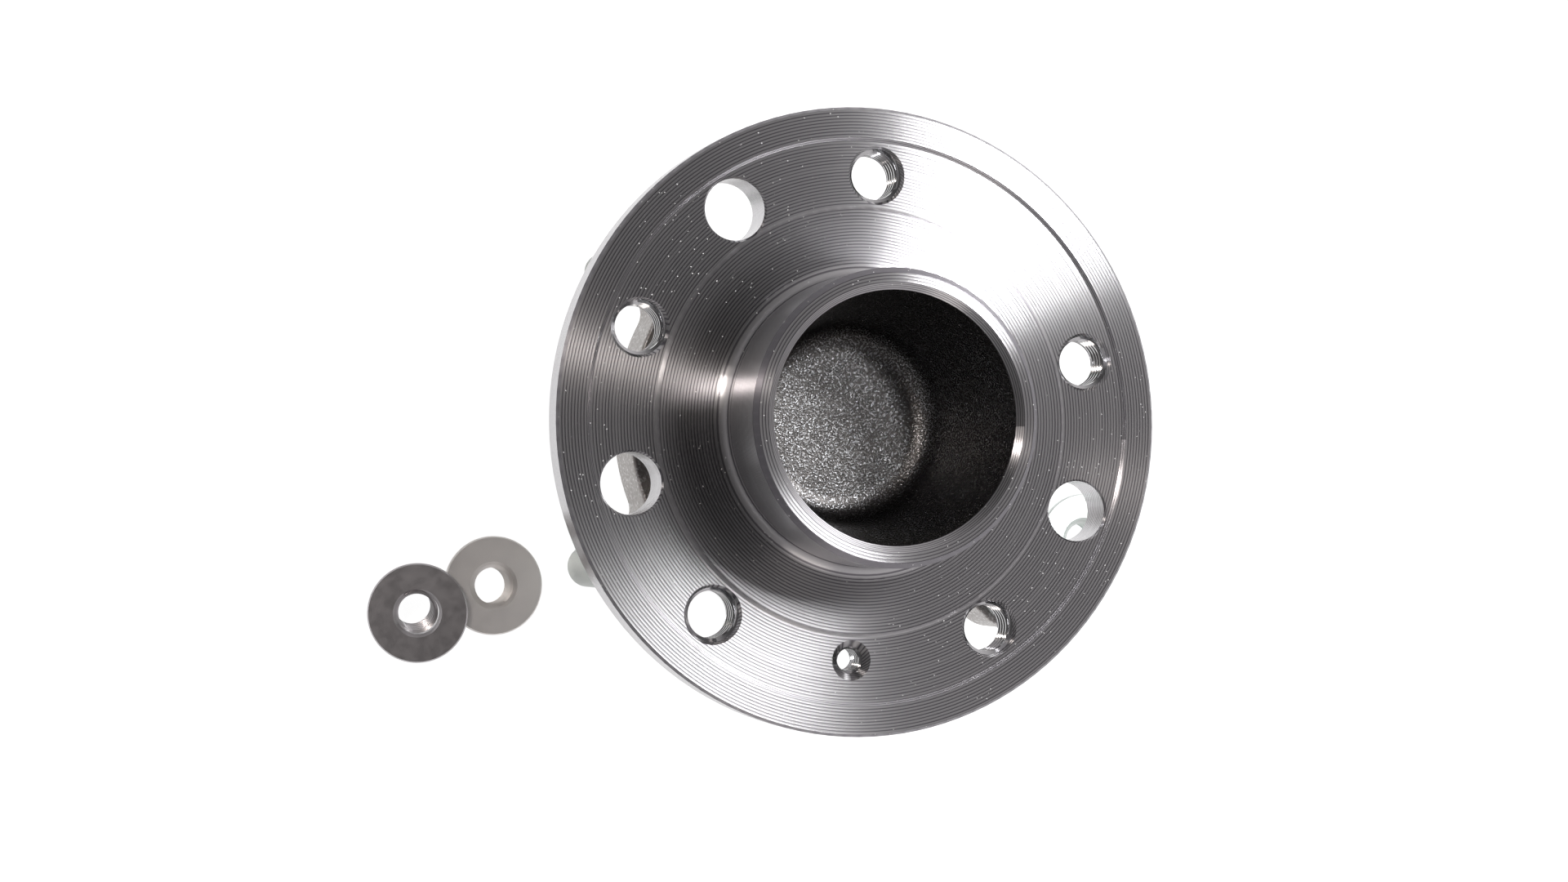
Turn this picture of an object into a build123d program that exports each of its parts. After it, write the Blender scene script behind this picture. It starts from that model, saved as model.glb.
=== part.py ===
from build123d import *
from math import asin, atan2, cos, degrees, floor, hypot, radians, sin, sqrt, tan
import os

# A flanged wheel hub bearing unit for a non-driven wheel: the wheel flange and spindle are one
# forging that spins on two rows of balls inside a fixed outer ring, and the outer ring bolts to
# the axle by four press-in studs.
# Millimetres. The spin axis is Z, +Z points away from the car, and z = 0 is the face that the
# brake disc and wheel rest on. The unit stands on the ends of its four studs.
# Threads are cut at their full diameter in the holes and at their core diameter on the studs.

os.makedirs("parts", exist_ok=True)

# ------------------------------------------------------------------ wheel flange and spigot
wheel_pcd = 110.0
wheel_bolt_count = 5
wheel_bolt_r = 6.0           # M12 x 1.5
wheel_mouth_r = 6.6
first_bolt_angle = 90.0
access_hole_r = 6.85
access_hole_angles = (126.0, 198.0, 342.0)
access_chamfer = 0.4
disc_screw_inset = 1.9       # inside the bolt circle
disc_screw_r = 3.0           # M6
disc_screw_mouth_r = 4.5
disc_screw_cone = 90.0
disc_screw_angle = 270.0

flange_margin = 15.0         # from the bolt circle to the rim
rim_thickness = 8.0
rim_chamfer = 0.6
bolt_zone_thickness = 10.5
bolt_zone_margin = 9.5       # from the bolt circle to the edge of the thicker back
bolt_zone_slope = 2.5
channel_in = 7.0             # turned channel, inwards and outwards from the bolt circle
channel_out = 7.5
channel_depth = 0.75
channel_wall_run = 0.8

spigot_r = 32.4
nose_z = 22.15
nose_chamfer = 1.1
relief_z = 4.6               # thin relief where the guide cylinder ends
relief_depth = 0.35
spigot_fillet = 3.5

spigot_wall = 3.25           # at the mouth of the forged cavity
cavity_lead_taper = 1.55     # smooth lead-in
cavity_lead_height = 1.3
cavity_taper = 5.8
cavity_floor_z = -19.0
cavity_fillet = 6.0

# ------------------------------------------------------------------ bearing
ball_d = 12.7
pitch_r = 29.5
row_spacing = 19.5
race_gap = 0.08              # between a ball and its raceway
shoulder_gap = 2.4           # from the pitch circle to the high shoulders
low_shoulder = 0.35          # height of the low shoulders over the groove bottom
inner_ring_wall = 3.57       # under its groove
ring_tail = 3.65             # inner ring past the balls
ring_chamfer = 1.2
lip_inset = 1.9              # rolled-over end inside the carrier's seat
lip_length = 5.0
spindle_recess_r = 13.0
spindle_recess_depth = 13.0

cage_web = 1.9               # least plastic between two pockets
cage_clearance = 0.5         # from the cage to the shoulders beside it
cage_rim = 1.05              # closed side of the cage past the balls
cage_prong = 2.6             # how far the prongs reach past the ball centres
cage_end_gap = 0.5
pocket_gap = 0.28

# ------------------------------------------------------------------ outer ring and studs
outer_front_z = -14.0
outer_front_wall = 6.5       # round the seal
seal_bore_step = 0.92        # from the end bore to the seal bore
seal_bore_depth = 5.4
outer_low_gap = 0.15         # step from the groove bottom to the end bores
outer_overhang = 2.0         # past the back of the inner ring
pilot_wall = 5.42
pilot_chamfer = 1.0

ear_inset = 3.0              # from the front of the ring to the front of the ears
ear_thickness = 14.5
ear_edge = 0.8               # rounding of the forged edge
waist_width = 8.0            # knuckle face between the pilot and the sides' waists
neck_ledge = 1.2             # ledge round the body above and below, between the ears
ear_r = 9.0
ear_root_fillet = 5.0
stud_spacing_x = 87.8
stud_spacing_y = 71.2
spot_r = 7.9                 # machined seat under the head of each stud
spot_depth = 0.4

stud_r = 5.0                 # M10 x 1.25
stud_knurl_r = 5.3
stud_core_r = 4.3
stud_plain = 5.5             # shank between the ear and the thread
stud_reach = 43.5            # from the knuckle face to the tip
stud_tip_chamfer = 1.3
stud_head_r = 7.5
stud_head_height = 3.0
stud_head_dome = 1.0

# ------------------------------------------------------------------ front seal
seal_seat_step = 1.9         # seal seat over the shoulder of the hub
seal_seat_ramp = 1.2
seal_sheet = 0.8
seal_ledge = 4.6             # from the seal seat to the edge of the sheet
lip_gap = 0.3
seal_back_gap = 0.4          # from the seal to the bottom of its bore
root_inset = 0.5             # the flange's back starts to dish inside the ring's front
root_dish = 2.4
root_fillet = 2.4

# ------------------------------------------------------------------ encoder and rear cap
carrier_sheet = 0.8
carrier_grip = 3.4
carrier_end_gap = 0.4
encoder_in_step = 2.3        # from the carrier's seat
encoder_out_gap = 2.08       # to the end bore
encoder_thickness = 1.4

cap_wall = 1.6
cap_insert = 5.0             # how far its sleeve reaches into the outer ring
cap_flange_inset = 1.5       # inside the pilot
cap_flange_t = 2.0
cap_shoulder_inset = 2.4
cap_floor_inset = 2.6
cap_floor_t = 2.0
cap_room = 1.4               # between the rolled lip and the floor
cap_rib_count = 10
cap_rib_width = 1.4
cap_rib_height = 1.0
cap_rib_in_r = 9.0
o_ring_r = 0.6               # radius of the ring's round section
o_ring_step = 2.22           # from the end bore
o_ring_room = 0.2            # each side of the ring in its groove

sensor_side_gap = 0.18       # from its nose to the sleeve of the cap
sensor_lip_gap = 1.1         # from its nose to the rolled lip
sensor_gap = 0.8             # air gap to the encoder
sensor_boss_r = 7.0
sensor_boss_in = 2.7
sensor_boss_out = 1.2
sensor_head = 6.8
socket_width = 15.0
socket_wall = 1.2
socket_depth = 8.2
socket_corner = 1.6
latch_width = 5.0
latch_length = 2.0
latch_height = 0.6
latch_inset = 0.4            # from the mouth of the socket
pin_width = 1.5
pin_thickness = 0.6
pin_spacing = 3.6
pin_length = 6.2

# ------------------------------------------------------------------ loose flange nuts
nut_flats = 14.0
nut_height = 10.0
nut_flange_r = 11.7
nut_rim = 1.3
nut_slope = 15.0
nut_bore_r = stud_r
nut_mouth = 0.7              # countersink past the thread
nut_edge_break = 0.3
flat_nut_at = (-68.2, -41.3)
flat_nut_turn = 12.0
leaning_nut_bearing = 22.3   # from the leaning nut towards the flat one
leaning_nut_gap = 0.35       # from its flat side to the other nut's flange
under_nut_at = (82.4, -22.4)
under_nut_turn = 40.0
nut_touch = 0.08             # between the two flanges where one rests on the other

# ------------------------------------------------------------------ sizes that follow
bolt_circle_r = wheel_pcd / 2
flange_r = bolt_circle_r + flange_margin
bolt_zone_r = bolt_circle_r + bolt_zone_margin
channel_in_r = bolt_circle_r - channel_in
channel_out_r = bolt_circle_r + channel_out
cavity_lead_r = spigot_r - spigot_wall
cavity_mouth_r = cavity_lead_r - cavity_lead_taper
cavity_floor_r = cavity_mouth_r - cavity_taper

ball_r = ball_d / 2
groove_r = ball_r + race_gap
inner_shoulder_r = pitch_r - shoulder_gap
outer_shoulder_r = pitch_r + shoulder_gap
inner_low_r = pitch_r - groove_r + low_shoulder
ring_seat_r = pitch_r - groove_r - inner_ring_wall
end_bore_r = pitch_r + groove_r + outer_low_gap
seal_bore_r = end_bore_r + seal_bore_step
outer_front_r = seal_bore_r + outer_front_wall
pilot_r = end_bore_r + pilot_wall
waist_r = pilot_r + waist_width
seal_seat_r = inner_shoulder_r + seal_seat_step
root_r = outer_front_r - root_inset

pocket_angle = 2 * asin((ball_r + pocket_gap + cage_web / 2) / pitch_r)
balls_per_row = floor(radians(360) / pocket_angle)
cage_half_width = shoulder_gap - cage_clearance
cage_ring_end = ball_r + cage_rim

seal_seat_end_z = outer_front_z - seal_bore_depth
row_out_z = seal_seat_end_z - seal_seat_ramp - cage_end_gap - cage_ring_end
row_in_z = row_out_z - row_spacing
ring_front_z = row_out_z - row_spacing / 2
ring_back_z = row_in_z - ball_r - ring_tail
lip_z = ring_back_z - lip_length
outer_back_z = ring_back_z - outer_overhang
ear_front_z = outer_front_z - ear_inset
ear_back_z = ear_front_z - ear_thickness
stud_seat_z = ear_front_z - spot_depth
stud_thread_z = ear_back_z - stud_plain
stud_tip_z = ear_back_z - stud_reach
stud_angle = degrees(atan2(stud_spacing_y, stud_spacing_x))
stud_circle_r = hypot(stud_spacing_x, stud_spacing_y) / 2
ear_side = stud_circle_r - sqrt(waist_r**2 - ear_r**2)
ear_root_r = min(ear_root_fillet, 0.8 * ear_side)

carrier_seat_r = inner_shoulder_r - carrier_sheet
lip_r = carrier_seat_r - lip_inset
carrier_end_z = ring_back_z + carrier_grip
encoder_in_r = carrier_seat_r + encoder_in_step
encoder_out_r = end_bore_r - encoder_out_gap
encoder_face_z = ring_back_z - carrier_sheet - encoder_thickness

cap_flange_r = pilot_r - cap_flange_inset
cap_shoulder_r = cap_flange_r - cap_shoulder_inset
cap_floor_r = cap_shoulder_r - cap_floor_inset
cap_floor_z = lip_z - cap_room - cap_floor_t
cap_sleeve_in_r = end_bore_r - cap_wall
sensor_r = (cap_sleeve_in_r - sensor_side_gap - lip_r - sensor_lip_gap) / 2
sensor_at_r = lip_r + sensor_lip_gap + sensor_r
sensor_boss_z = cap_floor_z - sensor_boss_out
sensor_back_z = sensor_boss_z - sensor_head
socket_reach = cap_flange_r
floor_z = min(stud_tip_z, sensor_back_z)


def turned(corners):
    """Closed outline through (radius, height, fillet) corners, to be turned about the spin axis."""
    points = [(radius, height) for radius, height, _ in corners]
    FilletPolyline(*points, radius=[corner[2] for corner in corners], close=True)


def save(piece, name):
    piece.label = name
    export_step(piece, f"parts/{name}.step")


# ------------------------------------------------------------------ wheel hub
with BuildPart() as wheel_hub:
    with BuildSketch(Plane.XZ):
        with BuildLine():
            turned(
                [
                    (0, cavity_floor_z, 0),
                    (cavity_floor_r, cavity_floor_z, cavity_fillet),
                    (cavity_mouth_r, nose_z - cavity_lead_height, 0),
                    (cavity_lead_r, nose_z, 0),
                    (spigot_r - nose_chamfer, nose_z, 0),
                    (spigot_r, nose_z - nose_chamfer, 0),
                    (spigot_r, relief_z, 0),
                    (spigot_r - relief_depth, relief_z - relief_depth, 0),
                    (spigot_r - relief_depth, 0, spigot_fillet),
                    (channel_in_r - channel_wall_run, 0, 0),
                    (channel_in_r, -channel_depth, 0),
                    (channel_out_r, -channel_depth, 0),
                    (channel_out_r + channel_wall_run, 0, 0),
                    (flange_r - rim_chamfer, 0, 0),
                    (flange_r, -rim_chamfer, 0),
                    (flange_r, rim_chamfer - rim_thickness, 0),
                    (flange_r - rim_chamfer, -rim_thickness, 0),
                    (bolt_zone_r, -rim_thickness, 1.5),
                    (bolt_zone_r - bolt_zone_slope, -bolt_zone_thickness, 1.5),
                    (root_r, -bolt_zone_thickness, 8),
                    (seal_seat_r, -bolt_zone_thickness - root_dish, root_fillet),
                    (seal_seat_r, seal_seat_end_z, 0),
                    (inner_shoulder_r, seal_seat_end_z - seal_seat_ramp, 0),
                    (inner_shoulder_r, row_out_z, 0),
                    (inner_low_r, row_out_z, 0),
                    (inner_low_r, ring_front_z, 0),
                    (ring_seat_r, ring_front_z, 0),
                    (ring_seat_r, ring_back_z, 0),
                    (lip_r, ring_back_z, 1.2),
                    (lip_r - 0.8, lip_z, 2.6),
                    (spindle_recess_r + 1.5, lip_z, 2.0),
                    (spindle_recess_r, lip_z + spindle_recess_depth, 1.5),
                    (0, lip_z + spindle_recess_depth + 6, 0),
                ]
            )
        make_face()
        with Locations((pitch_r, row_out_z)):
            Circle(groove_r, mode=Mode.SUBTRACT)
    revolve(axis=Axis.Z)
    with Locations(Plane.XY.offset(-channel_depth)):
        with PolarLocations(bolt_circle_r, wheel_bolt_count, start_angle=first_bolt_angle):
            CounterSinkHole(wheel_bolt_r, wheel_mouth_r, depth=bolt_zone_thickness)
        for angle in access_hole_angles:
            with PolarLocations(bolt_circle_r, 1, start_angle=angle):
                CounterSinkHole(
                    access_hole_r, access_hole_r + access_chamfer, depth=bolt_zone_thickness
                )
        with PolarLocations(bolt_circle_r - disc_screw_inset, 1, start_angle=disc_screw_angle):
            CounterSinkHole(
                disc_screw_r,
                disc_screw_mouth_r,
                depth=bolt_zone_thickness,
                counter_sink_angle=disc_screw_cone,
            )
save(wheel_hub.part, "wheel_hub")

# ------------------------------------------------------------------ inner ring
with BuildPart() as inner_ring:
    with BuildSketch(Plane.XZ):
        with BuildLine():
            turned(
                [
                    (ring_seat_r, ring_front_z - ring_chamfer, 0),
                    (ring_seat_r + ring_chamfer, ring_front_z, 0),
                    (inner_low_r, ring_front_z, 0.3),
                    (inner_low_r, row_in_z, 0),
                    (inner_shoulder_r, row_in_z, 0),
                    (inner_shoulder_r, carrier_end_z + carrier_end_gap, 0.3),
                    (carrier_seat_r, carrier_end_z + carrier_end_gap, 0),
                    (carrier_seat_r, ring_back_z, 0.3),
                    (ring_seat_r + ring_chamfer, ring_back_z, 0),
                    (ring_seat_r, ring_back_z + ring_chamfer, 0),
                ]
            )
        make_face()
        with Locations((pitch_r, row_in_z)):
            Circle(groove_r, mode=Mode.SUBTRACT)
    revolve(axis=Axis.Z)
save(inner_ring.part, "inner_ring")

# ------------------------------------------------------------------ outer ring with its four ears
body_r = outer_front_r + 0.8
neck_r = body_r + neck_ledge
with BuildPart() as outer_ring:
    with BuildSketch(Plane.XZ):
        with BuildLine():
            turned(
                [
                    (seal_bore_r, outer_front_z - 0.5, 0),
                    (seal_bore_r + 0.5, outer_front_z, 0),
                    (outer_front_r, outer_front_z, 1.2),
                    (body_r, ear_front_z, 0),
                    (body_r, ear_back_z, 0),
                    (pilot_r, ear_back_z, 0),
                    (pilot_r, outer_back_z + pilot_chamfer, 0),
                    (pilot_r - pilot_chamfer, outer_back_z, 0),
                    (end_bore_r + 0.5, outer_back_z, 0),
                    (end_bore_r, outer_back_z + 0.5, 0),
                    (end_bore_r, row_in_z, 0),
                    (outer_shoulder_r, row_in_z, 0),
                    (outer_shoulder_r, row_out_z, 0),
                    (end_bore_r, row_out_z, 0),
                    (end_bore_r, seal_seat_end_z, 0),
                    (seal_bore_r, seal_seat_end_z, 0),
                ]
            )
        make_face()
        with Locations((pitch_r, row_out_z), (pitch_r, row_in_z)):
            Circle(groove_r, mode=Mode.SUBTRACT)
    revolve(axis=Axis.Z)
    with BuildSketch(Plane.XY.offset(ear_back_z)) as ear_outline:
        Circle(waist_r)
        Rectangle(2 * waist_r, 2 * waist_r * sin(radians(stud_angle)), mode=Mode.INTERSECT)
        Circle(neck_r)
        for turn in (stud_angle, -stud_angle):
            SlotCenterToCenter(2 * stud_circle_r, 2 * ear_r, rotation=turn)
        for root_r in (waist_r, neck_r):
            roots = [v for v in ear_outline.vertices() if abs(hypot(v.X, v.Y) - root_r) < 0.01]
            fillet(roots, ear_root_r)
        Circle(pilot_r, mode=Mode.SUBTRACT)
    extrude(amount=ear_thickness)
    front_edges = outer_ring.edges().filter_by_position(Axis.Z, ear_front_z, ear_front_z)
    forged_edges = [
        edge
        for edge in front_edges
        if hypot((edge @ 0.5).X, (edge @ 0.5).Y) > body_r + neck_ledge / 2
    ]
    fillet(forged_edges, ear_edge)
    with BuildSketch(Plane.XY.offset(stud_seat_z)):
        with GridLocations(stud_spacing_x, stud_spacing_y, 2, 2):
            Circle(spot_r)
    extrude(amount=outer_front_z - stud_seat_z, mode=Mode.SUBTRACT)
    with BuildSketch(Plane.XY.offset(ear_back_z)):
        with GridLocations(stud_spacing_x, stud_spacing_y, 2, 2):
            Circle(stud_knurl_r)
    extrude(amount=stud_seat_z - ear_back_z, mode=Mode.SUBTRACT)
save(outer_ring.part, "outer_ring")

# ------------------------------------------------------------------ balls and cages
for row, row_z, side in (("outboard", row_out_z, 1), ("inboard", row_in_z, -1)):
    with BuildPart() as balls:
        with Locations((0, 0, row_z)):
            with PolarLocations(pitch_r, balls_per_row):
                Sphere(ball_r)
    save(balls.part, f"balls_{row}")

    with BuildPart() as cage:
        with BuildSketch(Plane.XZ):
            with Locations((pitch_r, row_z + side * (cage_ring_end - cage_prong) / 2)):
                Rectangle(2 * cage_half_width, cage_ring_end + cage_prong)
        revolve(axis=Axis.Z)
        with Locations((0, 0, row_z)):
            with PolarLocations(pitch_r, balls_per_row):
                Sphere(ball_r + pocket_gap, mode=Mode.SUBTRACT)
    save(cage.part, f"cage_{row}")

# ------------------------------------------------------------------ front seal
seal_back_z = seal_seat_end_z + seal_back_gap
seal_front_z = outer_front_z + 0.3
seal_case_in_r = seal_bore_r - seal_sheet
seal_ledge_r = seal_seat_r + seal_ledge
flange_dish = root_dish / (root_r - seal_seat_r)
side_lip_r = seal_ledge_r - 0.4
side_lip_z = -bolt_zone_thickness - (root_r - side_lip_r) * flange_dish - lip_gap - 0.1

with BuildPart() as seal_case:
    with BuildSketch(Plane.XZ):
        with BuildLine():
            turned(
                [
                    (seal_bore_r, seal_front_z, 0.3),
                    (seal_case_in_r, seal_front_z, 0),
                    (seal_case_in_r, seal_back_z + seal_sheet, 0.6),
                    (seal_ledge_r, seal_back_z + seal_sheet, 0),
                    (seal_ledge_r, seal_back_z, 0),
                    (seal_bore_r, seal_back_z, 1.3),
                ]
            )
        make_face()
    revolve(axis=Axis.Z)
save(seal_case.part, "seal_case")

with BuildPart() as seal_lips:
    with BuildSketch(Plane.XZ):
        with BuildLine():
            turned(
                [
                    (seal_case_in_r - 0.8, seal_back_z + seal_sheet, 0),
                    (seal_case_in_r - 1.1, seal_back_z + 1.7, 0.3),
                    (seal_ledge_r - 0.2, seal_back_z + 2.0, 0.4),
                    (side_lip_r + 0.5, side_lip_z - 0.5, 0),
                    (side_lip_r, side_lip_z, 0),
                    (side_lip_r - 0.6, side_lip_z - 0.9, 0),
                    (seal_ledge_r - 1.6, seal_back_z + 2.1, 0.4),
                    (seal_seat_r + lip_gap + 0.7, seal_back_z + 3.1, 0),
                    (seal_seat_r + lip_gap, seal_back_z + 2.6, 0),
                    (seal_seat_r + lip_gap + 1.5, seal_back_z + 1.1, 0.3),
                    (seal_seat_r + lip_gap, seal_back_z + 0.2, 0),
                    (seal_seat_r + lip_gap + 0.5, seal_back_z - 0.25, 0),
                    (seal_ledge_r - 1.4, seal_back_z, 0),
                    (seal_ledge_r, seal_back_z, 0),
                    (seal_ledge_r, seal_back_z + seal_sheet, 0),
                ]
            )
        make_face()
    revolve(axis=Axis.Z)
save(seal_lips.part, "seal_lips")

# ------------------------------------------------------------------ encoder on the inner ring
with BuildPart() as encoder_carrier:
    with BuildSketch(Plane.XZ):
        with BuildLine():
            turned(
                [
                    (carrier_seat_r, carrier_end_z, 0),
                    (carrier_seat_r + carrier_sheet, carrier_end_z, 0),
                    (carrier_seat_r + carrier_sheet, ring_back_z, 0.6),
                    (encoder_out_r, ring_back_z, 0),
                    (encoder_out_r, ring_back_z - carrier_sheet, 0),
                    (carrier_seat_r, ring_back_z - carrier_sheet, 1.2),
                ]
            )
        make_face()
    revolve(axis=Axis.Z)
save(encoder_carrier.part, "encoder_carrier")

with BuildPart() as encoder_ring:
    with BuildSketch(Plane.XZ):
        with BuildLine():
            turned(
                [
                    (encoder_in_r, encoder_face_z, 0),
                    (encoder_out_r, encoder_face_z, 0.4),
                    (encoder_out_r, encoder_face_z + encoder_thickness, 0),
                    (encoder_in_r, encoder_face_z + encoder_thickness, 0),
                ]
            )
        make_face()
    revolve(axis=Axis.Z)
save(encoder_ring.part, "encoder_ring")

# ------------------------------------------------------------------ rear cap and its ring
cap_edge_fillet = 3.0
cap_rib_out_r = cap_floor_r - cap_edge_fillet
with BuildPart() as rear_cap:
    with BuildSketch(Plane.XZ):
        with BuildLine():
            turned(
                [
                    (0, cap_floor_z, 0),
                    (cap_floor_r, cap_floor_z, cap_edge_fillet),
                    (cap_shoulder_r, outer_back_z - cap_flange_t, 1.0),
                    (cap_flange_r, outer_back_z - cap_flange_t, 0.5),
                    (cap_flange_r, outer_back_z, 0),
                    (end_bore_r, outer_back_z, 0),
                    (end_bore_r, outer_back_z + cap_insert - 0.8, 0),
                    (end_bore_r - 0.4, outer_back_z + cap_insert, 0),
                    (cap_sleeve_in_r, outer_back_z + cap_insert, 0),
                    (cap_sleeve_in_r, outer_back_z - cap_flange_t, 1.0),
                    (cap_floor_r - cap_wall, cap_floor_z + cap_floor_t, 2.0),
                    (0, cap_floor_z + cap_floor_t, 0),
                ]
            )
        make_face()
        with Locations((end_bore_r + o_ring_step, outer_back_z - o_ring_r)):
            Rectangle(2 * (o_ring_r + o_ring_room), 2 * o_ring_r, mode=Mode.SUBTRACT)
    revolve(axis=Axis.Z)
    with BuildSketch(Plane.XY.offset(cap_floor_z - cap_rib_height)):
        Circle(cap_rib_in_r + cap_rib_width)
        Circle(cap_rib_in_r, mode=Mode.SUBTRACT)
        first_rib_angle = 90 + 180 / cap_rib_count
        rib_mid_r = (cap_rib_in_r + cap_rib_width / 2 + cap_rib_out_r) / 2
        with PolarLocations(rib_mid_r, cap_rib_count, start_angle=first_rib_angle):
            Rectangle(2 * (cap_rib_out_r - rib_mid_r), cap_rib_width)
    extrude(amount=cap_rib_height + cap_floor_t / 2)
    with BuildSketch(Plane.XY.offset(sensor_boss_z)):
        with Locations((0, sensor_at_r)):
            Circle(sensor_boss_r)
    extrude(amount=sensor_boss_in + sensor_boss_out)
    with BuildSketch(Plane.XY.offset(sensor_boss_z)):
        with Locations((0, sensor_at_r)):
            Circle(sensor_r)
    extrude(amount=outer_back_z - sensor_boss_z, mode=Mode.SUBTRACT)
save(rear_cap.part, "rear_cap")

with BuildPart() as cap_o_ring:
    with Locations((0, 0, outer_back_z - o_ring_r)):
        Torus(end_bore_r + o_ring_step, o_ring_r)
save(cap_o_ring.part, "cap_o_ring")

# ------------------------------------------------------------------ speed sensor and its pins
head_mid_z = sensor_boss_z - sensor_head / 2
socket_floor_y = socket_reach - socket_depth
latch_y = socket_reach - latch_inset - latch_length / 2
with BuildPart() as speed_sensor:
    with BuildSketch(Plane.XY.offset(sensor_back_z)):
        with Locations((0, sensor_at_r)):
            Circle(socket_width / 2)
        with Locations((0, (sensor_at_r + socket_reach) / 2)):
            Rectangle(socket_width, socket_reach - sensor_at_r)
    extrude(amount=sensor_head)
    with BuildSketch(Plane.XY.offset(sensor_boss_z)):
        with Locations((0, latch_y)):
            Rectangle(latch_width, latch_length)
    extrude(amount=latch_height, taper=20)
    with BuildSketch(Plane.XY.offset(sensor_boss_z)):
        with Locations((0, sensor_at_r)):
            Circle(sensor_r)
    extrude(amount=encoder_face_z - sensor_gap - sensor_boss_z)
    with BuildSketch(Plane.XZ.offset(-socket_reach)):
        with Locations((0, head_mid_z)):
            RectangleRounded(
                socket_width - 2 * socket_wall, sensor_head - 2 * socket_wall, socket_corner
            )
    extrude(amount=socket_depth, mode=Mode.SUBTRACT)
save(speed_sensor.part, "speed_sensor")

for number, side in ((1, -1), (2, 1)):
    with BuildPart() as sensor_pin:
        with BuildSketch(Plane.XZ.offset(-socket_floor_y - pin_length)):
            with Locations((side * pin_spacing / 2, head_mid_z)):
                Rectangle(pin_width, pin_thickness)
        extrude(amount=pin_length)
    save(sensor_pin.part, f"sensor_pin_{number}")

# ------------------------------------------------------------------ press-in studs
with BuildPart() as stud_blank:
    with BuildSketch(Plane.XZ):
        with BuildLine():
            turned(
                [
                    (0, stud_seat_z + stud_head_height, 0),
                    (stud_head_r - 2 * stud_head_dome, stud_seat_z + stud_head_height, 0),
                    (stud_head_r, stud_seat_z + stud_head_height - stud_head_dome, 0.4),
                    (stud_head_r, stud_seat_z, 0),
                    (stud_knurl_r, stud_seat_z, 0),
                    (stud_knurl_r, ear_back_z, 0),
                    (stud_r, ear_back_z, 0),
                    (stud_r, stud_thread_z, 0),
                    (stud_core_r, stud_thread_z - (stud_r - stud_core_r), 0),
                    (stud_core_r, stud_tip_z + stud_tip_chamfer, 0.6),
                    (stud_core_r - stud_tip_chamfer, stud_tip_z, 0.6),
                    (0, stud_tip_z, 0),
                ]
            )
        make_face()
    revolve(axis=Axis.Z)

for number, place in enumerate(GridLocations(stud_spacing_x, stud_spacing_y, 2, 2), start=1):
    with BuildPart() as stud:
        with Locations(place):
            add(stud_blank.part)
    save(stud.part, f"stud_{number}")

# ------------------------------------------------------------------ loose flange nuts
nut_core_r = nut_flats / 2 - 1
nut_cone_drop = (nut_flange_r - nut_core_r) * tan(radians(nut_slope))
nut_corner_r = nut_flats / 2 / cos(radians(30))
with BuildPart() as nut_blank:
    with BuildSketch():
        RegularPolygon(nut_flats / 2, 6, major_radius=False, rotation=30)
    extrude(amount=nut_height)
    with BuildSketch(Plane.XZ):
        with BuildLine():
            turned(
                [
                    (0, 0, 0),
                    (nut_flats / 2, 0, 0),
                    (nut_corner_r + 0.2, (nut_corner_r + 0.2 - nut_flats / 2) / 2, 0),
                    (nut_corner_r + 0.2, nut_height, 0),
                    (0, nut_height, 0),
                ]
            )
        make_face()
    revolve(axis=Axis.Z, mode=Mode.INTERSECT)
    with BuildSketch(Plane.XZ):
        with BuildLine():
            turned(
                [
                    (0, nut_height, 0),
                    (nut_flange_r - nut_edge_break, nut_height, 0),
                    (nut_flange_r, nut_height - nut_edge_break, 0),
                    (nut_flange_r, nut_height - nut_rim, 0),
                    (nut_core_r, nut_height - nut_rim - nut_cone_drop, 0),
                    (0, nut_height - nut_rim - nut_cone_drop, 0),
                ]
            )
        make_face()
    revolve(axis=Axis.Z)
    with Locations((0, 0, nut_height), Location((0, 0, 0), (180, 0, 0))):
        CounterSinkHole(
            nut_bore_r, nut_bore_r + nut_mouth, depth=nut_height, counter_sink_angle=90
        )

# The leaning nut stands on the lower edge of one flat and rests its flange on the flat nut's.
contact_r = nut_flats / 2 + leaning_nut_gap
contact_up = nut_height - nut_rim - (nut_flange_r - contact_r) * tan(radians(nut_slope))
foot_to_contact = nut_flats / 2 + contact_r
lean = degrees(
    asin((nut_height + nut_touch) / hypot(foot_to_contact, contact_up))
    - atan2(contact_up, foot_to_contact)
)
lean_sin = sin(radians(lean))
lean_cos = cos(radians(lean))
foot_apart = nut_flange_r + contact_r * lean_cos - contact_up * lean_sin
leaning_nut_x = flat_nut_at[0] - foot_apart * cos(radians(leaning_nut_bearing))
leaning_nut_y = flat_nut_at[1] - foot_apart * sin(radians(leaning_nut_bearing))
leaning_place = (
    Location((leaning_nut_x, leaning_nut_y, floor_z + nut_flats / 2 * lean_sin))
    * Location((0, 0, 0), (0, 0, leaning_nut_bearing))
    * Location((0, 0, 0), (0, -lean, 0))
)
nut_places = {
    "flange_nut_flat": Location((*flat_nut_at, floor_z), (0, 0, flat_nut_turn)),
    "flange_nut_leaning": leaning_place,
    "flange_nut_under": Location((*under_nut_at, floor_z), (0, 0, under_nut_turn)),
}

for name, place in nut_places.items():
    with BuildPart() as flange_nut:
        with Locations(place):
            add(nut_blank.part)
    save(flange_nut.part, name)
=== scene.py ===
# %% [markdown]
# A wheel hub bearing lies on a white table, seen from above. Every steel part comes from the CAD
# model, at its real size and in its real place. This lesson gives those parts their finishes,
# cuts the screw threads, and sets up the camera, the table and the lamps.

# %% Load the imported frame
from collections import namedtuple
from math import atan2, cos, pi, radians, sin

import bmesh
import bpy
from mathutils import Matrix, Quaternion, Vector


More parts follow.
